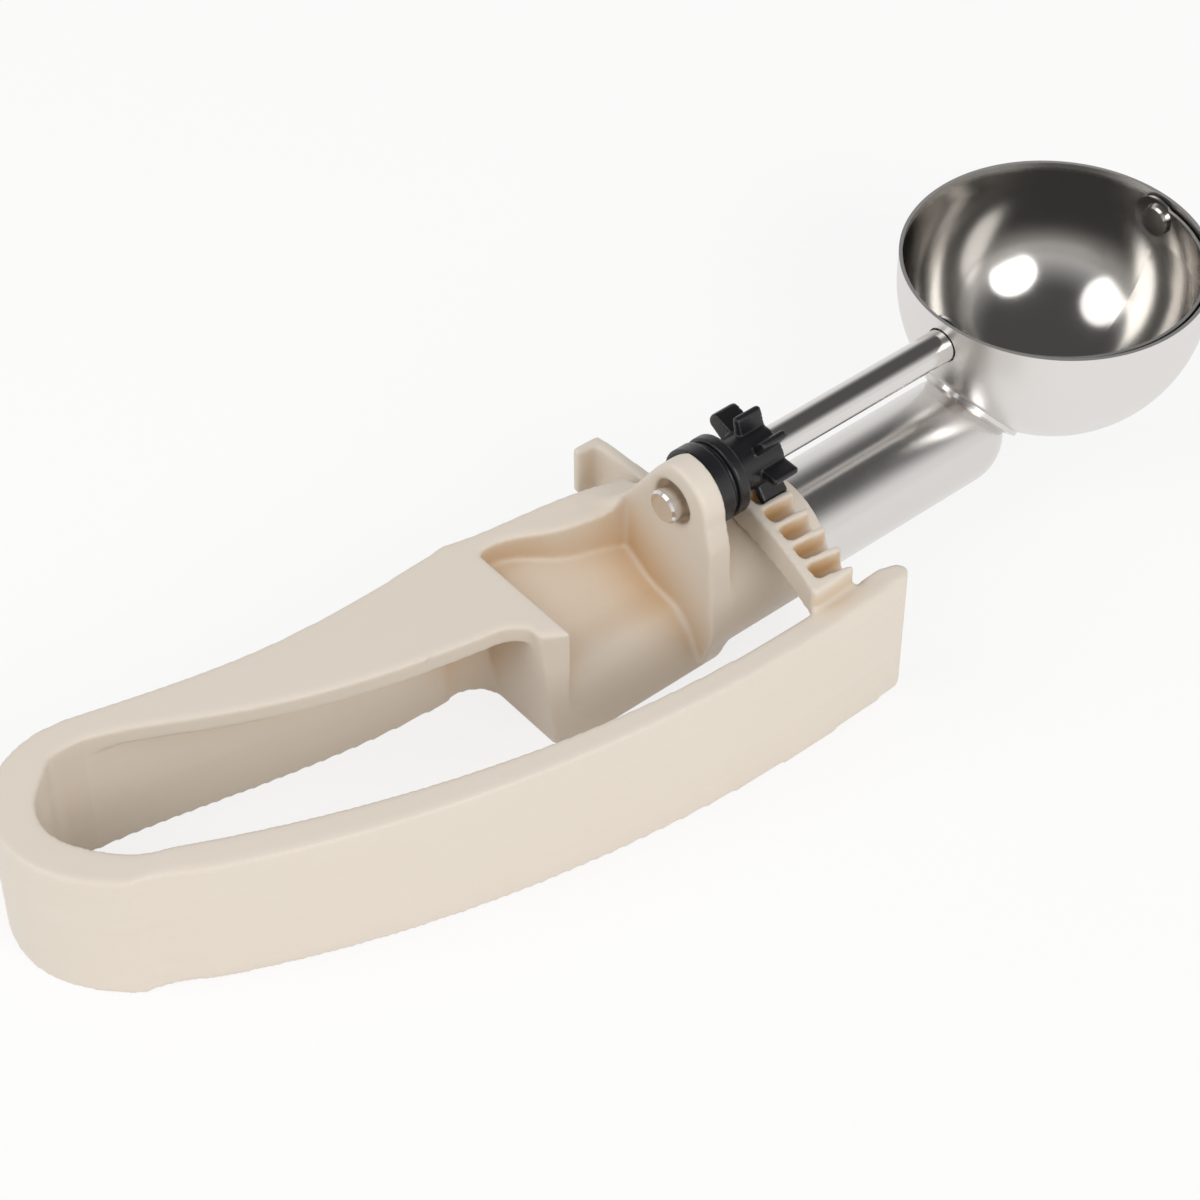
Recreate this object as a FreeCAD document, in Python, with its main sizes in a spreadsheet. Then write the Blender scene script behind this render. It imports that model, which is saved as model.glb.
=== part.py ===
import FreeCAD, Part
import math
import os
import Sketcher
from FreeCAD import Placement, Rotation, Vector

# Lever ice cream scoop with a one-piece squeeze handle, in millimetres.
# +X runs along the shank towards the bowl, +Z is up and +Y points away from the squeeze lever.
# The origin lies on the resting plane, under the shank's axis.

doc = FreeCAD.newDocument("lever_ice_cream_scoop")

# Driving dimensions
DIMENSIONS = {
    # Handle moulding
    "handle_height": 32.3,
    "lever_arc_radius": 290.0,
    "lever_arc_x": 22.0,
    "lever_bow": 38.5,
    "lever_thickness": 5.6,
    "lever_tip_x": 49.0,
    "bend_end_x": -104.0,
    "loop_length": 25.8,
    "loop_wall": 8.2,
    "flex_wall_inset": 4.6,
    "stem_back_y": 38.5,
    "stem_neck_y": 28.0,
    "flange_thickness": 4.6,
    "stem_front_x": -18.5,
    "base_front_x": 4.0,
    "base_width": 17.0,
    # Bearing ear and socket
    "ear_x": 17.0,
    "ear_thickness": 5.5,
    "ear_radius": 10.5,
    "rod_relief_radius": 5.0,
    "rod_relief_depth": 2.2,
    "socket_wall": 1.5,
    "socket_mouth_x": 49.5,
    "socket_floor_x": 19.0,
    # Rack and pinion
    "rack_width": 10.6,
    "rack_outer_x": 43.4,
    "rack_drop": 6.1,
    "tooth_pitch": 6.0,
    "tooth_clearance": 0.5,
    "groove_top_width": 4.7,
    "groove_floor_width": 3.5,
    "rack_end_y": 8.0,
    "stop_plate_y": 33.3,
    "stop_plate_thickness": 2.6,
    "stop_plate_height": 12.0,
    "stop_plate_top": 33.5,
    "stop_hook_reach": 4.2,
    "pinion_tip_radius": 9.8,
    "pinion_hub_radius": 5.8,
    "pinion_tooth_width": 2.0,
    "pinion_phase": 9.1,
    "pinion_front_x": 42.0,
    "pinion_teeth_length": 6.0,
    "wide_tooth_length": 5.4,
    "wide_tooth_width": 5.0,
    "wide_tooth_radius": 11.4,
    "collar_radius": 8.6,
    "collar_width": 3.6,
    # Rod, tube and bowl
    "rod_radius": 3.7,
    "rod_height": 43.4,
    "rod_rear_x": 14.4,
    "tube_radius": 12.0,
    "tube_wall": 0.9,
    "tube_dome_x": 96.0,
    "bowl_x": 125.0,
    "bowl_radius": 33.5,
    "bowl_wall": 0.8,
    "bowl_rim_rise": 6.1,
    "saddle_thickness": 0.9,
    "saddle_radius": 12.4,
    # Wiper
    "blade_width": 9.0,
    "blade_thickness": 0.7,
    "blade_rest_tilt": 2.0,
    "pivot_radius": 2.2,
    # Fits
    "bearing_clearance": 0.05,
    "running_gap": 0.35,
    "wall_gap": 0.3,
}

PINION_TEETH = 7
WIDE_TOOTH = 2
TOOTH_TIP_SHARE = 0.68
RACK_GROOVES_TO_LEVER = 5
RACK_GROOVES_TO_TAIL = 3

sheet = doc.addObject("Spreadsheet::Sheet", "dimensions")
for row, (alias, number) in enumerate(DIMENSIONS.items(), start=1):
    sheet.set(f"A{row}", alias)
    sheet.set(f"B{row}", f"{number:g}")
    sheet.setAlias(f"B{row}", alias)
doc.recompute()


def size(alias):
    """A driving dimension as the sheet holds it."""
    return float(sheet.get(alias))


def cell(expression):
    """An expression in which every driving dimension is read from the sheet."""
    words = sorted(DIMENSIONS, key=len, reverse=True)
    parts = []
    token = ""
    for letter in expression + " ":
        if letter.isalnum() or letter == "_":
            token += letter
            continue
        parts.append(f"<<dimensions>>.{token}" if token in words else token)
        parts.append(letter)
        token = ""
    return "".join(parts).strip()


def bind(piece, **cells):
    """Tie properties of a piece to the sheet. Two underscores stand for a dot."""
    for name, expression in cells.items():
        piece.setExpression(name.replace("__", "."), cell(expression))
    return piece


def solid(kind, name, turn=None, x="0", y="0", z="0", **sizes):
    """A Part primitive whose sizes and place are read from the sheet."""
    piece = doc.addObject(kind, name)
    if turn:
        piece.Placement = Placement(Vector(), turn)
    bind(piece, Placement__Base__x=x, Placement__Base__y=y, Placement__Base__z=z, **sizes)
    return piece


def fuse(name, pieces):
    piece = doc.addObject("Part::MultiFuse", name)
    piece.Shapes = pieces
    piece.Refine = True
    return piece


def common(name, pieces):
    piece = doc.addObject("Part::MultiCommon", name)
    piece.Shapes = pieces
    return piece


def cut(name, base, tool):
    piece = doc.addObject("Part::Cut", name)
    piece.Base = base
    piece.Tool = tool
    return piece


ALONG_X = Rotation(Vector(0, 1, 0), 90)
TUBE_HEIGHT = "handle_height / 2"

# Heights and places that follow from the driving dimensions
handle_height = size("handle_height")
tube_height = handle_height / 2
rod_height = size("rod_height")
arc_centre = Vector(size("lever_arc_x"), size("lever_arc_radius") - size("lever_bow"), 0)
bend_end = size("bend_end_x")


def arc_y(x, radius):
    """The lever band's y at x, on its arc of the given radius."""
    return arc_centre.y - math.sqrt(radius ** 2 - (x - arc_centre.x) ** 2)


lever_outer = size("lever_arc_radius")
lever_inner = lever_outer - size("lever_thickness")
tip_x = size("lever_tip_x")

# The moulding flexes in the end wall of its loop, so the lever turns about a line in that wall.
loop_end = bend_end - size("loop_length")
flex_x = loop_end + size("flex_wall_inset")
flex_y = (size("stem_back_y") + arc_y(bend_end, lever_outer)) / 2 + 2.2
flex = Vector(flex_x, flex_y, 0)


def prism(edges, low, high):
    """An upright solid over a closed plan outline."""
    face = Part.Face(Part.Wire(Part.__sortEdges__(edges)))
    face.translate(Vector(0, 0, low))
    return face.extrude(Vector(0, 0, high - low))


def line(a, b):
    return Part.LineSegment(Vector(*a, 0), Vector(*b, 0)).toShape()


def arc(a, b, c):
    return Part.Arc(Vector(*a, 0), Vector(*b, 0), Vector(*c, 0)).toShape()


def curve(points, start=None, end=None):
    """A smooth plan curve through a few points, with its end directions where they matter."""
    spline = Part.BSplineCurve()
    through = [Vector(*p, 0) for p in points]
    if start and end:
        spline.interpolate(through, InitialTangent=Vector(*start, 0), FinalTangent=Vector(*end, 0))
    else:
        spline.interpolate(through)
    return spline.toShape()


def node(label, shape):
    """A piece with its own solid, kept under the name of its file."""
    piece = doc.addObject("Part::Feature", label)
    piece.Shape = shape
    piece.Label = label
    return piece


# Squeeze lever: a curved band of constant thickness that ends in a rounded tip
mid = (bend_end + tip_x) / 2
tip_drop = 1.3
outer_start = (bend_end, arc_y(bend_end, lever_outer))
outer_end = (tip_x - 3, arc_y(tip_x - 3, lever_outer))
inner_start = (bend_end, arc_y(bend_end, lever_inner))
inner_end = (tip_x - 5, arc_y(tip_x - 5, lever_inner))
tip_low = (tip_x, outer_end[1] + 2.4)
tip_high = (tip_x - 1, inner_end[1] - tip_drop)
lever = prism([
    arc(outer_start, (mid, arc_y(mid, lever_outer)), outer_end),
    arc(outer_end, (tip_x - 0.9, outer_end[1] + 0.8), tip_low),
    line(tip_low, tip_high),
    line(tip_high, inner_end),
    arc(inner_end, (mid, arc_y(mid, lever_inner)), inner_start),
    line(inner_start, outer_start),
], 0, handle_height)

# Rack: an arc about the flexing wall, toothed on the half of its top nearest the bowl
ear_x = size("ear_x")
ear_front = ear_x + size("ear_thickness")
ear_radius = size("ear_radius")
rack_outer = math.hypot(size("rack_outer_x") - flex_x, flex_y)
rack_inner = rack_outer - size("rack_width")
rack_top = rod_height - size("rack_drop")
socket_radius = size("tube_radius") + size("socket_wall")
rack_low = tube_height + socket_radius + size("running_gap")
rack_end_y = size("rack_end_y")


def on_ring(radius, y):
    """The point of a circle about the flexing line at height y, on its bowl side."""
    return (flex_x + math.sqrt(radius ** 2 - (y - flex_y) ** 2), y)


def lever_meets(radius):
    """Where the lever's inner face crosses a circle about the flexing line."""
    y = -size("lever_bow") + size("lever_thickness")
    for _ in range(12):
        y = arc_y(on_ring(radius, y)[0], lever_inner)
    return on_ring(radius, y)


root_outer = lever_meets(rack_outer)
root_inner = lever_meets(rack_inner)
end_outer = on_ring(rack_outer, rack_end_y)
end_inner = on_ring(rack_inner, rack_end_y)
rack = prism([
    arc(root_outer, on_ring(rack_outer, -15), end_outer),
    line(end_outer, end_inner),
    arc(end_inner, on_ring(rack_inner, -15), root_inner),
    arc(root_inner, ((root_inner[0] + root_outer[0]) / 2,
                     arc_y((root_inner[0] + root_outer[0]) / 2, lever_inner)), root_outer),
], rack_low, rack_top)

# A low link carries an upright, hooked plate ahead of the ear, which ends the rack's travel.
plate_rear = ear_front + 4 * size("running_gap") - flex_x
plate_front = plate_rear + size("stop_plate_thickness")
plate_top = min(size("stop_plate_top"), rack_top)
plate_low = plate_top - size("stop_plate_height")
plate_y = size("stop_plate_y")
plate_start_y = socket_radius + 3.4
link_start_y = rack_end_y - 5
link = prism([
    line(on_ring(plate_rear, link_start_y + 3), on_ring(plate_rear, plate_start_y + 2)),
    line(on_ring(plate_rear, plate_start_y + 2), on_ring(rack_inner + 2, plate_start_y - 5)),
    line(on_ring(rack_inner + 2, plate_start_y - 5), on_ring(rack_inner + 2, link_start_y)),
    line(on_ring(rack_inner + 2, link_start_y), on_ring(plate_rear, link_start_y + 3)),
], rack_low, plate_top)
plate = prism([
    arc(on_ring(plate_rear, plate_start_y), on_ring(plate_rear, (plate_start_y + plate_y) / 2),
        on_ring(plate_rear, plate_y - 2.4)),
    line(on_ring(plate_rear, plate_y - 2.4), on_ring(plate_rear - size("stop_hook_reach"), plate_y - 1.8)),
    line(on_ring(plate_rear - size("stop_hook_reach"), plate_y - 1.8),
         on_ring(plate_rear - size("stop_hook_reach"), plate_y + 0.3)),
    line(on_ring(plate_rear - size("stop_hook_reach"), plate_y + 0.3), on_ring(plate_front, plate_y)),
    arc(on_ring(plate_front, plate_y), on_ring(plate_front, (plate_start_y + plate_y) / 2),
        on_ring(plate_front, plate_start_y)),
    line(on_ring(plate_front, plate_start_y), on_ring(plate_rear, plate_start_y)),
], plate_low, plate_top)
rack = rack.fuse([link, plate]).removeSplitter()

pinion_pitch_radius = size("tooth_pitch") * PINION_TEETH / (2 * math.pi)
mesh_x = size("pinion_front_x") - size("pinion_teeth_length") / 2
mesh_arm = mesh_x - flex_x
groove_turn = math.degrees(size("tooth_pitch") / mesh_arm)
groove_low = rod_height - size("pinion_tip_radius") - size("tooth_clearance")
half_top = size("groove_top_width") / 2
half_low = size("groove_floor_width") / 2
teeth_start_x = size("pinion_front_x") - size("pinion_teeth_length") - 1
groove_profile = Part.makePolygon([
    Vector(teeth_start_x, -half_low, groove_low),
    Vector(teeth_start_x, half_low, groove_low),
    Vector(teeth_start_x, half_top, rack_top + 1),
    Vector(teeth_start_x, -half_top, rack_top + 1),
    Vector(teeth_start_x, -half_low, groove_low),
])
groove = Part.Face(groove_profile).extrude(Vector(20, 0, 0))
# At rest the lowest pinion tooth leans by the phase angle, and a groove lies under it.
phase_turn = size("pinion_phase") * pinion_pitch_radius / mesh_arm
for step in range(-RACK_GROOVES_TO_LEVER, RACK_GROOVES_TO_TAIL + 1):
    tool = groove.copy()
    tool.rotate(flex, Vector(0, 0, 1), phase_turn + step * groove_turn)
    rack = rack.cut(tool)

# Loop bend: the moulding's end wall, thick enough to spring the lever back
wall = size("loop_wall")
stem_edge_y = size("stem_back_y") - 0.4
lip_y = size("stem_back_y") - 7.3
bend_outer = curve([
    (bend_end, stem_edge_y),
    (bend_end - 4.8, size("stem_back_y")),
    (bend_end - 14.5, size("stem_back_y") - 2.2),
    (bend_end - 23.2, flex_y + 11.5),
    (loop_end, flex_y + 2.5),
    (loop_end + 3.6, flex_y - 11.5),
    (bend_end - 13.6, arc_y(bend_end - 13, lever_outer) - 0.9),
    outer_start,
], start=(-1, 0.06), end=(1, -0.59))
bend_inner = curve([
    inner_start,
    (bend_end - 8.3, arc_y(bend_end - 8.3, lever_inner) + 0.1),
    (loop_end + wall + 4.8, flex_y - 10.6),
    (loop_end + wall + 0.4, flex_y - 2),
    (loop_end + wall + 2.6, flex_y + 7.6),
    (bend_end - 9.5, lip_y - 1.8),
    (bend_end, lip_y),
], start=(-1, 0.59), end=(1, -0.1))
bend = prism([
    bend_outer,
    line(outer_start, inner_start),
    bend_inner,
    line((bend_end, lip_y), (bend_end, stem_edge_y)),
], 0, handle_height)

# Stem: a web along the back under a wide top flange
stem_front = size("stem_front_x")
run = stem_front - bend_end
back_y = size("stem_back_y")
neck_y = size("stem_neck_y")


def along(share):
    return bend_end + share * run


def back(share):
    return neck_y + share * (back_y - neck_y)


stem_back = [
    (bend_end, stem_edge_y),
    (along(0.23), back(0.48)),
    (along(0.45), back(0.13)),
    (along(0.72), neck_y),
    (along(1.0), neck_y + 1),
]
shoulder = [
    stem_back[-1],
    (stem_front + 0.3 * (ear_x - stem_front), neck_y - 1.2),
    (stem_front + 0.62 * (ear_x - stem_front), neck_y - 2.6),
    (ear_x - 3, neck_y - 4.6),
    (ear_front, ear_radius + 10),
]
lip = [
    (bend_end, lip_y),
    (along(0.1), lip_y - 3.4),
    (along(0.24), lip_y - 9.6),
    (along(0.45), lip_y - 17.8),
    (along(0.68), lip_y - 24.0),
    (along(0.93), lip_y - 28.4),
]
web = [
    (bend_end, lip_y),
    (along(0.15), lip_y - 2.2),
    (along(0.38), lip_y - 6.6),
    (along(0.63), lip_y - 10.7),
    (along(0.9), lip_y - 12.8),
]
rear_wall = stem_front + 1
rear_lean = 2.7
block_front_y = -size("base_width") / 2
flange = prism([
    curve(stem_back),
    line(stem_back[-1], (rear_wall + 2, neck_y)),
    line((rear_wall + 2, neck_y), (rear_wall + 2, block_front_y + 5)),
    line((rear_wall + 2, block_front_y + 5), (stem_front, block_front_y + 5)),
    arc((stem_front, block_front_y + 5), (along(0.972), lip[-1][1] - 2.4), lip[-1]),
    curve(lip[::-1]),
    line(lip[0], stem_back[0]),
], handle_height - size("flange_thickness"), handle_height)
web_solid = prism([
    curve(stem_back),
    line(stem_back[-1], (rear_wall + 2, neck_y)),
    line((rear_wall + 2, neck_y), (rear_wall + 2, web[-1][1] - 6)),
    line((rear_wall + 2, web[-1][1] - 6), (rear_wall, web[-1][1] - 6)),
    arc((rear_wall, web[-1][1] - 6), (rear_wall - 2.2, web[-1][1] - 1.6), web[-1]),
    curve(web[::-1]),
    line(web[0], stem_back[0]),
], 0, handle_height - size("flange_thickness") / 2)

# Block: rear wall, floor and back wall round the pocket, with the bearing ear at its front
block_back = curve(shoulder)
ear_flank_y = -socket_radius + 0.3
block_plan = prism([
    block_back,
    line(shoulder[-1], (ear_front, ear_flank_y)),
    line((ear_front, ear_flank_y), (ear_x, ear_flank_y)),
    curve([(ear_x, ear_flank_y), (size("base_front_x"), block_front_y - 3.2), (rear_wall + 6, block_front_y),
           (rear_wall + 1.4, block_front_y + 2.4), (rear_wall - rear_lean, block_front_y + 5)]),
    line((rear_wall - rear_lean, block_front_y + 5), (rear_wall - rear_lean, neck_y)),
    line((rear_wall - rear_lean, neck_y), stem_back[-1]),
], 0, rod_height + ear_radius)


def side_profile(points, depth):
    """An upright plate seen from the lever side, drawn in x and z and carried across y."""
    edges = []
    for kind, run_points in points:
        through = [Vector(x, -depth, z) for x, z in run_points]
        if kind == "line":
            edges += [Part.LineSegment(a, b).toShape() for a, b in zip(through, through[1:])]
        else:
            spline = Part.BSplineCurve()
            spline.interpolate(through)
            edges.append(spline.toShape())
    face = Part.Face(Part.Wire(Part.__sortEdges__(edges)))
    return face.extrude(Vector(0, 2 * depth, 0))


ear_top = rod_height + ear_radius
ridge = [
    (ear_x - 6, handle_height),
    (ear_x - 2.2, handle_height + 1.4),
    (ear_x - 0.4, handle_height + 5),
    (ear_x, handle_height + 10),
]
base_front = size("base_front_x")
underside = [
    (ear_front, tube_height - size("tube_radius") - size("socket_wall")),
    (base_front + 6, 0.9),
    (base_front, 0),
]
block_side = side_profile([
    ("curve", ridge),
    ("line", [ridge[-1], (ear_x, ear_top), (ear_front, ear_top), underside[0]]),
    ("curve", underside),
    ("line", [underside[-1], (rear_wall, 0), (rear_wall - rear_lean, handle_height), ridge[0]]),
], 60)


def cross_profile(points, start_x, length):
    """A section seen along the rod, drawn in y and z and carried along x."""
    edges = []
    for kind, run_points in points:
        through = [Vector(start_x, y, z) for y, z in run_points]
        if kind == "line":
            edges += [Part.LineSegment(a, b).toShape() for a, b in zip(through, through[1:])]
        elif kind == "arc":
            edges.append(Part.Arc(*through).toShape())
        else:
            spline = Part.BSplineCurve()
            spline.interpolate(through)
            edges.append(spline.toShape())
    face = Part.Face(Part.Wire(Part.__sortEdges__(edges)))
    return face.extrude(Vector(length, 0, 0))


far = neck_y + 10
ear_section = cross_profile([
    ("arc", [(-ear_radius, rod_height), (-0.68 * ear_radius, rod_height + 0.73 * ear_radius), (0.5, ear_top - 0.6)]),
    ("curve", [(0.5, ear_top - 0.6), (3.6, ear_top - 2.9), (0.7 * ear_radius, rod_height + 2.6),
               (1.1 * ear_radius, handle_height + 7.5), (1.52 * ear_radius, handle_height + 2.1),
               (ear_radius + 11, handle_height)]),
    ("line", [(ear_radius + 11, handle_height), (far, handle_height), (far, 0), (block_front_y + 4, 0)]),
    ("curve", [(block_front_y + 4, 0), (block_front_y + 0.6, 1.6), (ear_flank_y + 1.4, 9), (ear_flank_y, tube_height)]),
    ("line", [(ear_flank_y, tube_height), (-ear_radius - 1.6, rod_height - 6), (-ear_radius, rod_height)]),
], rear_wall - 8, ear_front - rear_wall + 12)
block = block_plan.common(block_side).common(ear_section)

# Pocket: open to the top and to the lever, scooped down towards its front edge
pocket_left = stem_front + 4
pocket_plan = prism([
    curve([
        (pocket_left, neck_y - 5.5),
        (pocket_left + 5.5, neck_y - 5.6),
        (stem_front + 0.58 * (ear_x - stem_front), neck_y - 10.6),
        (ear_x - 6, neck_y - 12.8),
        (ear_x, neck_y - 14.5),
    ]),
    line((ear_x, neck_y - 14.5), (ear_x, -40)),
    line((ear_x, -40), (pocket_left, -40)),
    line((pocket_left, -40), (pocket_left, neck_y - 5.5)),
], -1, ear_top + 10)
floor_height = tube_height + 0.4
pocket_section = cross_profile([
    ("line", [(far, ear_top + 10), (far, floor_height + 8)]),
    ("curve", [(far, floor_height + 8), (12, floor_height + 4), (4, floor_height),
               (-2, floor_height - 1), (-7, floor_height - 6), (-ear_radius, 2.5), (-ear_radius - 6, -4)]),
    ("line", [(-ear_radius - 6, -4), (-50, -4), (-50, ear_top + 10), (far, ear_top + 10)]),
], pocket_left - 5, ear_x - pocket_left + 10)
block = block.cut(pocket_plan.common(pocket_section))

# Socket: a thin round barrel over the shank, running forward from the ear
mouth = size("socket_mouth_x")
barrel = Part.makeCylinder(socket_radius, mouth - ear_x, Vector(ear_x, 0, tube_height), Vector(1, 0, 0))
stem = block.fuse([flange, web_solid, barrel]).removeSplitter()
seat = Part.makeCylinder(size("tube_radius"), mouth, Vector(size("socket_floor_x"), 0, tube_height), Vector(1, 0, 0))
stem = stem.cut(seat)
bearing = Part.makeCylinder(size("rod_radius") + size("bearing_clearance"), 40,
                            Vector(ear_x - 10, 0, rod_height), Vector(1, 0, 0))
relief = Part.makeCylinder(size("rod_relief_radius"), size("rod_relief_depth") + 12,
                           Vector(ear_x - 12, 0, rod_height), Vector(1, 0, 0))
stem = stem.cut(bearing).cut(relief)

node("handle_stem", stem)
node("loop_bend", bend)
node("squeeze_lever", lever)
node("gear_rack", rack)

# Bowl: a deep-drawn round bowl whose centre lies on the rod's axis, with a straight band up to its rim
inner_bowl = "bowl_radius - bowl_wall"
bowl_body = cut("bowl_body", fuse("bowl_outer", [
    solid("Part::Sphere", "bowl_outer_round", x="bowl_x", z="rod_height", Radius="bowl_radius", Angle2="0"),
    solid("Part::Cylinder", "bowl_outer_band", x="bowl_x", z="rod_height", Radius="bowl_radius",
          Height="bowl_rim_rise"),
]), fuse("bowl_inner", [
    solid("Part::Sphere", "bowl_inner_round", x="bowl_x", z="rod_height", Radius=inner_bowl, Angle2="0"),
    solid("Part::Cylinder", "bowl_inner_band", x="bowl_x", z="rod_height", Radius=inner_bowl,
          Height="bowl_rim_rise + 1"),
]))
bowl = cut("bowl", bowl_body, fuse("bowl_holes", [
    solid("Part::Cylinder", "rod_hole", ALONG_X, x="bowl_x - bowl_radius - 2", z="rod_height",
          Radius="rod_radius + wall_gap", Height="10"),
    solid("Part::Cylinder", "pivot_hole", ALONG_X, x="bowl_x + bowl_radius - 6", z="rod_height",
          Radius="pivot_radius + bearing_clearance", Height="10"),
]))

# Saddle: a spherical plate that carries the bowl on the domed end of the shank
saddle = common("bowl_saddle", [
    cut("saddle_shell",
        solid("Part::Sphere", "saddle_outer", x="bowl_x", z="rod_height", Radius="bowl_radius + saddle_thickness"),
        solid("Part::Sphere", "saddle_inner", x="bowl_x", z="rod_height", Radius="bowl_radius")),
    solid("Part::Cylinder", "saddle_limit", Rotation(Vector(0, 1, 0), 200), x="bowl_x", z="rod_height",
          Radius="saddle_radius", Height="bowl_radius + 10",
          Placement__Rotation__Angle=f"atan2(tube_dome_x - bowl_x; {TUBE_HEIGHT} - rod_height)"),
])

# Shank: a thick polished tube seated in the socket, domed where it meets the saddle
dome_run = "tube_dome_x - socket_floor_x"
shank_shell = cut("shank_shell", fuse("shank_outer", [
    solid("Part::Cylinder", "shank_tube_outer", ALONG_X, x="socket_floor_x", z=TUBE_HEIGHT, Radius="tube_radius",
          Height=dome_run),
    solid("Part::Sphere", "shank_dome_outer", x="tube_dome_x", z=TUBE_HEIGHT, Radius="tube_radius"),
]), fuse("shank_inner", [
    solid("Part::Cylinder", "shank_tube_inner", ALONG_X, x="socket_floor_x - 1", z=TUBE_HEIGHT,
          Radius="tube_radius - tube_wall", Height=dome_run + " + 1"),
    solid("Part::Sphere", "shank_dome_inner", x="tube_dome_x", z=TUBE_HEIGHT, Radius="tube_radius - tube_wall"),
]))
shank = cut("shank_tube", shank_shell,
            solid("Part::Sphere", "shank_saddle_cut", x="bowl_x", z="rod_height",
                  Radius="bowl_radius + saddle_thickness"))

# Rod: turns in the ear and in the bowl's near wall, and is riveted into the blade's eye
blade_outer = "bowl_radius - bowl_wall - wall_gap"


def body(name):
    return doc.addObject("PartDesign::Body", name)


def plane(owner, role):
    """One of a body's own origin planes."""
    return [f for f in owner.Origin.OriginFeatures if f.Role == role][0]


def cross_sketch(owner, name, x):
    """A sketch square to the rod, at x. Its own axes run along the part's y and z."""
    sketch = owner.newObject("Sketcher::SketchObject", name)
    sketch.AttachmentSupport = [(plane(owner, "YZ_Plane"), "")]
    sketch.MapMode = "FlatFace"
    sketch.setExpression("AttachmentOffset.Base.z", cell(x))
    return sketch


def circle(sketch, radius):
    """A circle about the rod's axis, tied to the sheet."""
    index = sketch.addGeometry(Part.Circle(Vector(0, rod_height, 0), Vector(0, 0, 1), 5), False)
    sketch.addConstraint(Sketcher.Constraint("PointOnObject", index, 3, -2))
    rise = sketch.addConstraint(Sketcher.Constraint("DistanceY", -1, 1, index, 3, rod_height))
    across = sketch.addConstraint(Sketcher.Constraint("Radius", index, 5))
    sketch.setExpression(f"Constraints[{rise}]", cell("rod_height"))
    sketch.setExpression(f"Constraints[{across}]", cell(radius))


def pad(owner, name, sketch, length):
    feature = owner.newObject("PartDesign::Pad", name)
    feature.Profile = sketch
    feature.setExpression("Length", cell(length))
    owner.Tip = feature
    return feature


def disc(owner, name, radius, x, length):
    """A round step of a turned or moulded piece on the rod's axis."""
    sketch = cross_sketch(owner, name + "_sketch", x)
    circle(sketch, radius)
    return pad(owner, name, sketch, length)


rod = body("wiper_rod")
rivet_end = f"bowl_x - sqrt(({blade_outer} - blade_thickness) ^ 2 - rod_radius ^ 2) + 1.2"
disc(rod, "rod_shaft", "rod_radius", "rod_rear_x", f"{rivet_end} - rod_rear_x")
doc.recompute()
rod_chamfer = rod.newObject("PartDesign::Chamfer", "rod_ends")
shaft = rod.getObject("rod_shaft")
round_edges = [f"Edge{i}" for i, e in enumerate(shaft.Shape.Edges, start=1) if e.Closed]
rod_chamfer.Base = (shaft, round_edges)
rod_chamfer.Size = 0.5
rod.Tip = rod_chamfer

# Pinion: a black moulded hub with two collars, seven slim teeth and one wide tooth among them
pinion = body("pinion")
ear_face = "ear_x + ear_thickness"
hub_start = f"{ear_face} + running_gap"
disc(pinion, "collar", "collar_radius", hub_start, "collar_width")
disc(pinion, "collar_groove", "collar_radius - 1.2", f"{hub_start} + collar_width", "1.6")
disc(pinion, "second_collar", "collar_radius", f"{hub_start} + collar_width + 1.6", "2.3")
disc(pinion, "hub", "pinion_hub_radius", hub_start, f"pinion_front_x - ({hub_start})")
doc.recompute()


def tooth(name, length, width, reach, turn):
    """A tooth with a rounded tip, drawn pointing down and turned about the rod's axis."""
    sketch = cross_sketch(pinion, name + "_sketch", "pinion_front_x")
    half = width / 2
    tip_half = half * TOOTH_TIP_SHARE
    base = Vector(0, rod_height, 0)
    spin = Rotation(Vector(0, 0, 1), turn)
    root = -size("pinion_hub_radius") + 1.5
    shoulder_drop = -reach + size("pinion_tooth_width") * 0.35
    corners = [Vector(-half, root, 0), Vector(-tip_half, shoulder_drop, 0), Vector(tip_half, shoulder_drop, 0),
               Vector(half, root, 0)]
    tip = Vector(0, -reach, 0)
    a, b, c, d = [base + spin.multVec(corner) for corner in corners]
    sketch.addGeometry(Part.LineSegment(a, b), False)
    sketch.addGeometry(Part.Arc(b, base + spin.multVec(tip), c), False)
    sketch.addGeometry(Part.LineSegment(c, d), False)
    sketch.addGeometry(Part.LineSegment(d, a), False)
    feature = pad(pinion, name, sketch, length)
    feature.Reversed = True
    return feature


spacing = 360 / PINION_TEETH
for index in range(PINION_TEETH):
    turn = size("pinion_phase") + index * spacing
    if index == WIDE_TOOTH:
        tooth("wide_tooth", "wide_tooth_length", size("wide_tooth_width"), size("wide_tooth_radius"), turn)
    else:
        tooth(f"tooth_{index + 1}", "pinion_teeth_length", size("pinion_tooth_width"), size("pinion_tip_radius"), turn)
doc.recompute()
bore = pinion.newObject("PartDesign::Pocket", "rod_bore")
bore_sketch = cross_sketch(pinion, "bore_sketch", "pinion_front_x + 1")
circle(bore_sketch, "rod_radius")
bore.Profile = bore_sketch
bore.setExpression("Length", cell("pinion_front_x - ear_x"))
pinion.Tip = bore

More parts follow.
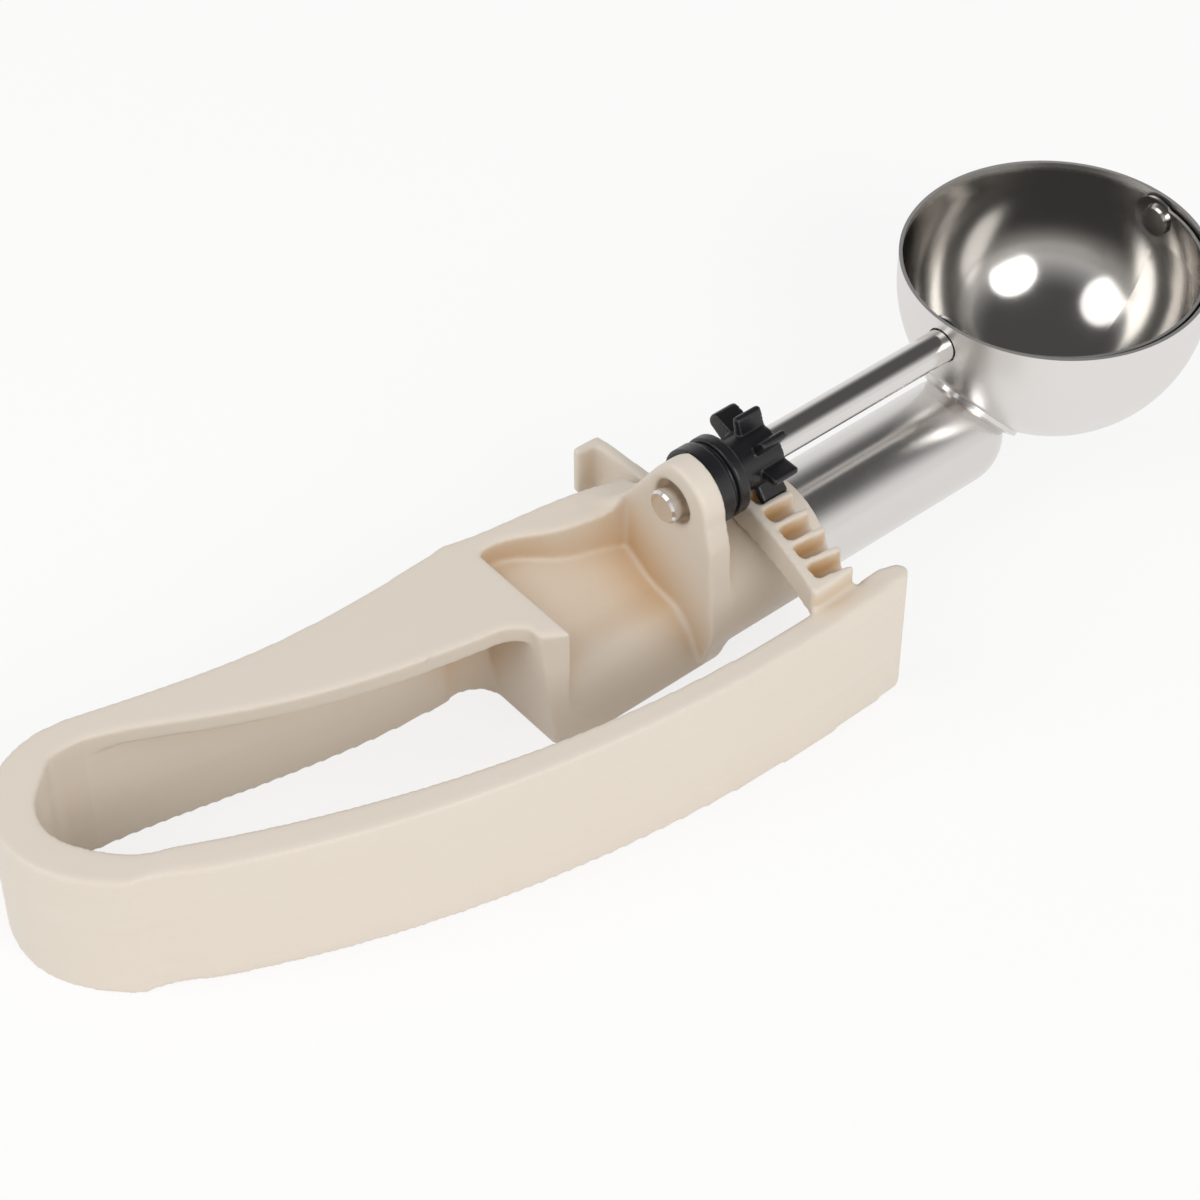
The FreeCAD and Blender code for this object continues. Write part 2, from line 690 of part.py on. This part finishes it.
# Blade: a strip of a spherical shell that sweeps just inside the bowl, with an eye at each end
eye_radius = "blade_width / 2 + 1.3"
inner_blade = f"{blade_outer} - blade_thickness"
strip_limit = solid("Part::Box", "strip_limit", Rotation(Vector(1, 0, 0), 180), x="bowl_x - bowl_radius",
                    z="rod_height", Length="2 * bowl_radius", Width="bowl_radius", Height="blade_width")
half_width = "blade_width / 2"
bind(strip_limit, Placement__Rotation__Angle="180 - blade_rest_tilt",
     Placement__Base__y=f"{half_width} * sin(blade_rest_tilt)",
     Placement__Base__z=f"rod_height + {half_width} * cos(blade_rest_tilt)")
blade_solid = common("blade_solid", [
    cut("blade_shell",
        solid("Part::Sphere", "blade_shell_outer", x="bowl_x", z="rod_height", Radius=blade_outer),
        solid("Part::Sphere", "blade_shell_inner", x="bowl_x", z="rod_height", Radius=inner_blade)),
    fuse("blade_limit", [
        strip_limit,
        solid("Part::Cylinder", "blade_eyes", ALONG_X, x="bowl_x - bowl_radius", z="rod_height",
              Radius=eye_radius, Height="2 * bowl_radius"),
    ]),
])
blade = cut("wiper_blade", blade_solid, fuse("blade_holes", [
    solid("Part::Cylinder", "rod_eye", ALONG_X, x="bowl_x - bowl_radius", z="rod_height", Radius="rod_radius",
          Height="bowl_radius"),
    solid("Part::Cylinder", "pivot_eye", ALONG_X, x="bowl_x", z="rod_height", Radius="pivot_radius",
          Height="bowl_radius"),
]))

# Pivot: a headed pin through the blade's far eye, turning in the bowl's far wall
pivot = body("blade_pivot")
pivot_seat = f"bowl_x + sqrt(({inner_blade}) ^ 2 - (pivot_radius + 1.2) ^ 2)"
disc(pivot, "pivot_head", "pivot_radius + 1.2", f"{pivot_seat} - 0.9", "0.9")
disc(pivot, "pivot_pin", "pivot_radius", f"{pivot_seat} - 0.2", f"bowl_x + bowl_radius + 1.2 - ({pivot_seat}) + 0.2")
doc.recompute()

NODES = ["handle_stem", "loop_bend", "squeeze_lever", "gear_rack", "bowl", "bowl_saddle", "shank_tube",
         "wiper_rod", "pinion", "wiper_blade", "blade_pivot"]
for label in NODES:
    doc.getObject(label).Label = label

failed = [o.Name for o in doc.Objects if "Invalid" in o.State or "Error" in o.State]
if failed:
    raise RuntimeError("failed: " + ", ".join(failed))
for label in NODES:
    shape = doc.getObject(label).Shape
    if shape.isNull() or not shape.isValid() or not shape.Solids:
        raise RuntimeError("no valid solid in " + label)

os.makedirs("parts", exist_ok=True)
for label in NODES:
    piece = doc.getObject(label).Shape
    box = piece.BoundBox
    print(f"{label}: {len(piece.Solids)} solid, {piece.Volume:.0f} mm3, "
          f"x {box.XMin:.1f} to {box.XMax:.1f}, y {box.YMin:.1f} to {box.YMax:.1f}, z {box.ZMin:.1f} to {box.ZMax:.1f}")
    piece.exportStep(f"parts/{label}.step")
print(f"lever turns about x {flex_x:.3f}, y {flex_y:.3f}")
print(f"pinion turns {mesh_arm / pinion_pitch_radius:.4f} for each turn of the lever")
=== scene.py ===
import bmesh
import bpy
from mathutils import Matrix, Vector


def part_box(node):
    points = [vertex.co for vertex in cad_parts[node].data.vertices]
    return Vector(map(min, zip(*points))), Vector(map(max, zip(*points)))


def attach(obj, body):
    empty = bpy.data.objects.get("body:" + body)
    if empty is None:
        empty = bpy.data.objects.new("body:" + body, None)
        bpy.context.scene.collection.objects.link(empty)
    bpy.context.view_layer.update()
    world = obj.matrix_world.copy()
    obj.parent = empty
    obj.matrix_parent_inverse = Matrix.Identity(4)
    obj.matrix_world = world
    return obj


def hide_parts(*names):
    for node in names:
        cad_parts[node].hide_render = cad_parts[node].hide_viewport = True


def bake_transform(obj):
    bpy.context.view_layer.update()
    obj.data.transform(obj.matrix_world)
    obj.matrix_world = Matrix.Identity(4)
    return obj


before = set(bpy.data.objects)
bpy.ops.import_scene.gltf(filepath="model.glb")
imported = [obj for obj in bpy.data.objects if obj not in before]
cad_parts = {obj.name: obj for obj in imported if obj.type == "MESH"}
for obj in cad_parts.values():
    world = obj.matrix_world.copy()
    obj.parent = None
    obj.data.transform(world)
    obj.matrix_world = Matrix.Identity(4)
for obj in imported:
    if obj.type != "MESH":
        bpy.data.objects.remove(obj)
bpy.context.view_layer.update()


# Studio. The scoop lies on a pale seamless table. Two softboxes and a dim ceiling give the
# polished steel its white blobs and its dark bands.
def linear(hex_colour):
    """An sRGB hex colour as the linear RGBA that Blender's sockets take."""
    channels = [int(hex_colour[i:i + 2], 16) / 255 for i in (1, 3, 5)]
    return [c / 12.92 if c <= 0.04045 else ((c + 0.055) / 1.055) ** 2.4 for c in channels] + [1]


def add_node(tree, kind, links=None, **settings):
    """Adds a node. links maps its sockets to values or to the outputs that feed them."""
    node = tree.nodes.new(kind)
    for name, value in settings.items():
        setattr(node, name, value)
    for socket, value in (links or {}).items():
        if isinstance(value, bpy.types.NodeSocket):
            tree.links.new(value, node.inputs[socket])
        else:
            node.inputs[socket].default_value = value
    return node


def begin_material(name):
    """A new material, its node tree and its Principled shader."""
    material = bpy.data.materials.new(name)
    material.use_nodes = True
    return material, material.node_tree, material.node_tree.nodes["Principled BSDF"]


scene = bpy.context.scene
scene.view_settings.view_transform = "Standard"

camera = bpy.data.objects.new("camera", bpy.data.cameras.new("camera"))
scene.collection.objects.link(camera)
scene.camera = camera
camera.location = (-0.2993, -0.3563, 0.4950)
camera.rotation_mode = "QUATERNION"
camera.rotation_quaternion = Vector((0.4520, 0.5409, -0.7093)).to_track_quat("-Z", "Y")
camera.data.sensor_width = 36
camera.data.lens = 98.8

table_mesh = bmesh.new()
bmesh.ops.create_grid(table_mesh, x_segments=1, y_segments=1, size=6)
table_top = bpy.data.objects.new("table", bpy.data.meshes.new("table"))
table_mesh.to_mesh(table_top.data)
table_mesh.free()
scene.collection.objects.link(table_top)
# The paper shows as the clean white of a lit studio floor, and still takes a faint shadow.
paper, tree, shader = begin_material("white matt paper")
shader.inputs["Base Color"].default_value = linear("#F6F5F3")
shader.inputs["Roughness"].default_value = 0.9
shader.inputs["Specular IOR Level"].default_value = 0.1
seen = add_node(tree, "ShaderNodeLightPath").outputs
seen_or_mirrored = add_node(tree, "ShaderNodeMath", {
    0: seen["Is Camera Ray"], 1: seen["Is Glossy Ray"]}, operation="MAXIMUM")
floor_glow = 0.8
share = add_node(tree, "ShaderNodeMath", {
    0: seen_or_mirrored.outputs["Value"], 1: floor_glow}, operation="MULTIPLY")
white = add_node(tree, "ShaderNodeEmission", {"Color": linear("#FFFFFF"), "Strength": 1.0})
surface = add_node(tree, "ShaderNodeMixShader", {
    0: share.outputs["Value"], 1: shader.outputs["BSDF"], 2: white.outputs["Emission"]})
tree.links.new(surface.outputs["Shader"], tree.nodes["Material Output"].inputs["Surface"])
table_top.data.materials.append(paper)

world = bpy.data.worlds.new("studio")
scene.world = world
world.use_nodes = True
tree = world.node_tree
tree.nodes.clear()
# Mirrored rays find bright walls low down and a dark ceiling. All other light is even.
direction = add_node(tree, "ShaderNodeTexCoord").outputs["Generated"]
height = add_node(tree, "ShaderNodeSeparateXYZ", {0: direction}).outputs["Z"]
ceiling = add_node(tree, "ShaderNodeMapRange", {
    "Value": height, "From Min": 0.2, "From Max": 0.75, "To Min": 0.9, "To Max": 0.1,
}, interpolation_type="SMOOTHSTEP").outputs["Result"]
even_light = 0.62
ray = add_node(tree, "ShaderNodeLightPath").outputs
level = add_node(tree, "ShaderNodeMix", {
    "Factor": ray["Is Glossy Ray"], "A": even_light, "B": ceiling})
glow = add_node(tree, "ShaderNodeBackground", {
    "Color": linear("#FFFFFF"), "Strength": level.outputs["Result"]})
add_node(tree, "ShaderNodeOutputWorld", {"Surface": glow.outputs["Background"]})

# name, place, size across and up, power
SOFTBOXES = (
    ("softbox left", (-0.75, 0.25, 0.75), (0.75, 0.75), 2.8),
    ("softbox front", (-0.1, -1.1, 0.75), (0.9, 0.7), 5.9),
)
for name, place, (across, up), power in SOFTBOXES:
    lamp = bpy.data.lights.new(name, "AREA")
    lamp.shape = "ELLIPSE"
    lamp.size, lamp.size_y = across, up
    lamp.energy = power
    softbox = bpy.data.objects.new(name, lamp)
    softbox.location = place
    softbox.rotation_mode = "QUATERNION"
    softbox.rotation_quaternion = (-Vector(place)).to_track_quat("-Z", "Y")
    scene.collection.objects.link(softbox)


# Handle stem. The fixed grip, moulded in one shot of ivory nylon with the loop, the lever and
# the rack. Light spark grain from the mould, satin, and paler on its crowns because its recesses
# get painted shade.
ivory, tree, shader = begin_material("ivory moulded nylon")
place = add_node(tree, "ShaderNodeTexCoord").outputs["Object"]
# The shade drifts over 45 mm. The melt's flow lines are 2.4 mm high and run along the handle.
cloud = add_node(tree, "ShaderNodeTexNoise", {"Vector": place, "Scale": 22.0, "Detail": 3.0})
flow = add_node(tree, "ShaderNodeMapping", {"Vector": place, "Scale": (9.0, 60.0, 420.0)})
streak = add_node(tree, "ShaderNodeTexNoise", {"Vector": flow.outputs["Vector"], "Scale": 1.0})
# Spark grain is about 0.05 mm; it is drawn at 0.35 mm so that it shows.
grain = add_node(tree, "ShaderNodeTexNoise", {"Vector": place, "Scale": 2800.0, "Detail": 2.0})
tone = add_node(tree, "ShaderNodeMath", {
    0: cloud.outputs["Fac"], 1: streak.outputs["Fac"]}, operation="MULTIPLY")
# The colour where no painted shade falls, drifting at random between two ivories.
unshaded_colour = add_node(tree, "ShaderNodeMix", {
    "Factor": tone.outputs["Value"], "A": linear("#E2D8CB"), "B": linear("#DDD1C1"),
}, data_type="RGBA")
# Painted shade, standing in for light trapped in the nylon: the colour turns a darker warm brown
# where walls stand within 22 mm of each other.
painted_shade_ao = add_node(tree, "ShaderNodeAmbientOcclusion", {
    "Distance": 0.022}, samples=8, only_local=True)
depth = add_node(tree, "ShaderNodeMapRange", {
    "Value": painted_shade_ao.outputs["AO"], "From Min": 0.3, "From Max": 0.92})
# Painted shade: recesses take the dark warm brown, open faces keep the unshaded colour.
colour = add_node(tree, "ShaderNodeMix", {
    "Factor": depth.outputs["Result"], "A": linear("#C79F6A"), "B": unshaded_colour.outputs["Result"],
}, data_type="RGBA")
gloss = add_node(tree, "ShaderNodeMapRange", {
    "Value": grain.outputs["Fac"], "To Min": 0.36, "To Max": 0.5})
bump = add_node(tree, "ShaderNodeBump", {
    "Height": grain.outputs["Fac"], "Strength": 0.12, "Distance": 0.0001})
tree.links.new(colour.outputs["Result"], shader.inputs["Base Color"])
tree.links.new(gloss.outputs["Result"], shader.inputs["Roughness"])
tree.links.new(bump.outputs["Normal"], shader.inputs["Normal"])
shader.inputs["IOR"].default_value = 1.53


def skin_of(name, nodes, voxel, rounds):
    """One closed skin over CAD nodes, with the small radii that a mould leaves on every edge."""
    weld, on_plane = 0.000002, 0.00001
    shell = bmesh.new()
    for node in nodes:
        shell.from_mesh(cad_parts[node].data)
    bmesh.ops.remove_doubles(shell, verts=shell.verts, dist=weld)
    if "loop_bend" in nodes:
        # The loop meets the stem and the lever at one plane, whose faces would lie inside.
        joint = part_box("loop_bend")[1][0]
        inside = [f for f in shell.faces if all(abs(v.co.x - joint) < on_plane for v in f.verts)]
        bmesh.ops.delete(shell, geom=inside, context="FACES")
    rough = bpy.data.objects.new(name, bpy.data.meshes.new(name))
    shell.to_mesh(rough.data)
    shell.free()
    scene.collection.objects.link(rough)
    remesh = rough.modifiers.new("skin", "REMESH")
    remesh.mode = "VOXEL"
    remesh.voxel_size = voxel
    soften = rough.modifiers.new("radii", "SMOOTH")
    soften.factor = 0.5
    soften.iterations = rounds
    skin = bmesh.new()
    skin.from_object(rough, bpy.context.evaluated_depsgraph_get())
    bpy.data.objects.remove(rough)
    return skin


def finish_piece(name, skin, material):
    """Makes an object of a skin, smooth shaded by the normals that the skin had when whole."""
    piece = bpy.data.objects.new(name, bpy.data.meshes.new(name))
    skin.to_mesh(piece.data)
    scene.collection.objects.link(piece)
    piece.data.shade_smooth()
    kept = piece.data.attributes.get("whole_normal")
    if kept:
        piece.data.normals_split_custom_set_from_vertices([entry.vector[:] for entry in kept.data])
    piece.data.materials.append(material)
    return piece


def ramp(value, low, high):
    """Rises smoothly from 0 at low to 1 at high."""
    share = min(1.0, max(0.0, (value - low) / (high - low)))
    return share * share * (3 - 2 * share)


def swell(skin):
    """Thickens the lever's curved band towards the loop, and eases the loop onto its curve."""
    # The band's outer face is an arc of 290 mm about this centre, and its wall is 5.6 mm.
    arc_centre = Vector((0.022, 0.2515, 0))
    middle_radius, half_wall, extra = 0.2872, 0.0028, 0.0008
    loop_x, fade_x, stem_side_y = -0.126, -0.01, 0.006
    thick_from, thick_to, thin_from, thin_to = -0.122, -0.102, -0.098, -0.012
    loop_slack, slack_end = 0.005, -0.108
    for vert in skin.verts:
        if vert.co.y < stem_side_y and loop_x < vert.co.x < fade_x:
            outward = (vert.co - arc_centre) * Vector((1, 1, 0))
            side = min(1.0, max(-1.0, (outward.length - middle_radius) / half_wall))
            share = ramp(vert.co.x, thick_from, thick_to) * (1 - ramp(vert.co.x, thin_from, thin_to))
            slack = loop_slack * (1 - ramp(vert.co.x, loop_x, slack_end))
            most = middle_radius + half_wall + extra * share + slack
            reach = min(outward.length + side * share * extra, most)
            vert.co += outward.normalized() * (reach - outward.length)


def part_at(skin, x):
    """Cuts a skin's faces along the upright plane at x, and keeps it in one mesh."""
    bmesh.ops.bisect_plane(skin, geom=skin.verts[:] + skin.edges[:] + skin.faces[:],
                           plane_co=(x, 0, 0), plane_no=(1, 0, 0))


def keep_normals(skin):
    """Stores the skin's normals, so that no seam shows where the moulding is parted."""
    skin.normal_update()
    whole = skin.verts.layers.float_vector.new("whole_normal")
    for vert in skin.verts:
        vert[whole] = vert.normal


def drop(skin, wanted):
    """Deletes the faces whose middles wanted refuses."""
    refused = [f for f in skin.faces if not wanted(f.calc_center_median())]
    bmesh.ops.delete(skin, geom=refused, context="FACES")


# The stem, the loop and the lever are one moulding: one skin, parted where the loop begins. The
# loop's piece keeps the rear of the lever's band, so that no seam lies near the bend.
loop_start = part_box("loop_bend")[1][0]
lever_start = -0.06
handle_voxel, handle_rounds = 0.0006, 6
moulding = skin_of(
    "moulding", ("handle_stem", "loop_bend", "squeeze_lever"), handle_voxel, handle_rounds)
swell(moulding)
part_at(moulding, loop_start)
part_at(moulding, lever_start)
keep_normals(moulding)


def on_stem(centre):
    """True for a face of the stem, which lies beyond the middle of the hand opening."""
    tip_y, slope_x, slope = -0.022, -0.010, 0.4
    middle_y = tip_y + max(0.0, slope_x - centre.x) * slope
    return centre.x > loop_start and centre.y > middle_y


grip = moulding.copy()
drop(grip, on_stem)
stem = finish_piece("stem_moulding", grip, ivory)
grip.free()
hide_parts("handle_stem")
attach(stem, "frame")

# Loop and the lever's root. The loop's thin end wall is the spring of the moulding: it flexes
# as the lever is squeezed. This piece is not attached to a body, so it stays where it is.
drop(moulding, lambda centre: not on_stem(centre) and centre.x < lever_start)
loop = finish_piece("loop_moulding", moulding, ivory)
moulding.free()
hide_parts("loop_bend")
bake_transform(loop)

# Squeeze lever and rack. The lever's front half, with the rack moulded on its inner face. The
# rack's grooves drive the pinion, and its upright hooked plate ends the travel.
squeezer = skin_of("squeezer", ("squeeze_lever", "gear_rack"), handle_voxel, handle_rounds)
swell(squeezer)
part_at(squeezer, lever_start)
keep_normals(squeezer)
drop(squeezer, lambda centre: centre.x > lever_start)
lever = finish_piece("lever_moulding", squeezer, ivory)
squeezer.free()
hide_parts("squeeze_lever", "gear_rack")
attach(lever, "lever")


def dress(node, material):
    """Gives a CAD node its finish."""
    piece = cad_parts[node]
    piece.data.materials.clear()
    piece.data.materials.append(material)


# Shank tube. A drawn stainless tube, closed by a dome and pressed into the handle. Satin steel,
# whose fine lengthwise lines from the drawing die spread its highlights a little.
drawn, tree, shader = begin_material("satin drawn stainless")
place = add_node(tree, "ShaderNodeTexCoord").outputs["Object"]
# The die's lines are about 0.1 mm; they are drawn at 0.55 mm so that they show.
along = add_node(tree, "ShaderNodeMapping", {"Vector": place, "Scale": (12.0, 1800.0, 1800.0)})
lines = add_node(tree, "ShaderNodeTexNoise", {"Vector": along.outputs["Vector"], "Scale": 1.0})
smudge = add_node(tree, "ShaderNodeTexNoise", {"Vector": place, "Scale": 90.0, "Detail": 4.0})
gloss = add_node(tree, "ShaderNodeMapRange", {
    "Value": smudge.outputs["Fac"], "To Min": 0.16, "To Max": 0.3})
bump = add_node(tree, "ShaderNodeBump", {
    "Height": lines.outputs["Fac"], "Strength": 0.1, "Distance": 0.00005})
tree.links.new(gloss.outputs["Result"], shader.inputs["Roughness"])
tree.links.new(bump.outputs["Normal"], shader.inputs["Normal"])
shader.inputs["Base Color"].default_value = linear("#DBD8D5")
shader.inputs["Metallic"].default_value = 1.0
dress("shank_tube", drawn)

# Wiper rod. A ground stainless rod that turns in the bearing ear and carries the pinion and the
# blade. Brighter than the tube, with sharp reflections broken by the grinding lines.
ground, tree, shader = begin_material("bright ground stainless")
place = add_node(tree, "ShaderNodeTexCoord").outputs["Object"]
# The grinding lines are about 0.1 mm; they are drawn at 0.4 mm so that they show.
along = add_node(tree, "ShaderNodeMapping", {"Vector": place, "Scale": (20.0, 2600.0, 2600.0)})
lines = add_node(tree, "ShaderNodeTexNoise", {"Vector": along.outputs["Vector"], "Scale": 1.0})
gloss = add_node(tree, "ShaderNodeMapRange", {
    "Value": lines.outputs["Fac"], "To Min": 0.08, "To Max": 0.2})
tree.links.new(gloss.outputs["Result"], shader.inputs["Roughness"])
shader.inputs["Base Color"].default_value = linear("#DCD9D6")
shader.inputs["Metallic"].default_value = 1.0
dress("wiper_rod", ground)

# Pinion. Black nylon, moulded onto the rod with its collars and teeth. A low sheen picks out
# the rounded edges of the teeth.
black, tree, shader = begin_material("black moulded nylon")
place = add_node(tree, "ShaderNodeTexCoord").outputs["Object"]
# The mould's grain is about 0.1 mm; it is drawn at 0.6 mm so that it shows.
grain = add_node(tree, "ShaderNodeTexNoise", {"Vector": place, "Scale": 1600.0, "Detail": 3.0})
gloss = add_node(tree, "ShaderNodeMapRange", {
    "Value": grain.outputs["Fac"], "To Min": 0.26, "To Max": 0.42})
bump = add_node(tree, "ShaderNodeBump", {
    "Height": grain.outputs["Fac"], "Strength": 0.2, "Distance": 0.0001})
tree.links.new(gloss.outputs["Result"], shader.inputs["Roughness"])
tree.links.new(bump.outputs["Normal"], shader.inputs["Normal"])
shader.inputs["Base Color"].default_value = linear("#1B1B1E")
# The smoothing that rounds the teeth also thins them, so the skin is grown a little.
gear_voxel, gear_rounds, growth = 0.00028, 2, 0.00022
gear = skin_of("gear", ("pinion",), gear_voxel, gear_rounds)
gear.normal_update()
for vert in gear.verts:
    vert.co += vert.normal * growth
pinion = finish_piece("pinion_moulding", gear, black)
gear.free()
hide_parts("pinion")
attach(pinion, "wiper")

# Bowl. A stainless hemisphere, spun on a lathe and set on the saddle. Polished like a mirror
# inside, and satin outside with the faint rings of the spinning. Its inside gets a darker steel
# colour as painted shade.
spun, tree, shader = begin_material("spun stainless bowl")
place = add_node(tree, "ShaderNodeTexCoord").outputs["Object"]
from_centre = (-0.125, 0.0, -0.0434)
wall_inside, wall_outside = 0.0329, 0.0331
centred = add_node(tree, "ShaderNodeVectorMath", {0: place, 1: from_centre}).outputs["Vector"]
radius = add_node(tree, "ShaderNodeVectorMath", {0: centred}, operation="LENGTH").outputs["Value"]
outside = add_node(tree, "ShaderNodeMapRange", {
    "Value": radius, "From Min": wall_inside, "From Max": wall_outside}).outputs["Result"]
rise = add_node(tree, "ShaderNodeSeparateXYZ", {0: centred}).outputs["Z"]
# The lathe's rings are about 0.2 mm apart; they are drawn at 0.55 mm so that they show.
rings = add_node(tree, "ShaderNodeTexNoise", {"W": rise, "Scale": 1800.0}, noise_dimensions="1D")
smudge = add_node(tree, "ShaderNodeTexNoise", {"Vector": place, "Scale": 70.0, "Detail": 5.0})
inner = add_node(tree, "ShaderNodeMapRange", {
    "Value": smudge.outputs["Fac"], "To Min": 0.11, "To Max": 0.17}).outputs["Result"]
outer = add_node(tree, "ShaderNodeMapRange", {
    "Value": smudge.outputs["Fac"], "To Min": 0.26, "To Max": 0.4}).outputs["Result"]
gloss = add_node(tree, "ShaderNodeMix", {"Factor": outside, "A": inner, "B": outer})
depth = add_node(tree, "ShaderNodeMath", {0: outside, 1: rings.outputs["Fac"]}, operation="MULTIPLY")
bump = add_node(tree, "ShaderNodeBump", {
    "Height": depth.outputs["Value"], "Strength": 0.08, "Distance": 0.00005})
tree.links.new(gloss.outputs["Result"], shader.inputs["Roughness"])
tree.links.new(bump.outputs["Normal"], shader.inputs["Normal"])
# Painted shade: the inside takes a darker steel colour than the outside.
steel_with_painted_inside_shade = add_node(tree, "ShaderNodeMix", {
    "Factor": outside, "A": linear("#C4C1BD"), "B": linear("#E3E0DD")}, data_type="RGBA")
tree.links.new(steel_with_painted_inside_shade.outputs["Result"], shader.inputs["Base Color"])
shader.inputs["Metallic"].default_value = 1.0
dress("bowl", spun)

# Saddle. The small stainless cradle that joins the bowl to the end of the shank. It has the
# shank's satin finish.
dress("bowl_saddle", drawn)

# Wiper blade. A bent stainless strip that hugs the bowl's inside and sweeps the scoop free. It
# is fixed to the rod's end and shares the rod's bright finish.
dress("wiper_blade", ground)

# Blade pivot. The headed pin that carries the blade's far end in the bowl's wall.
dress("blade_pivot", ground)
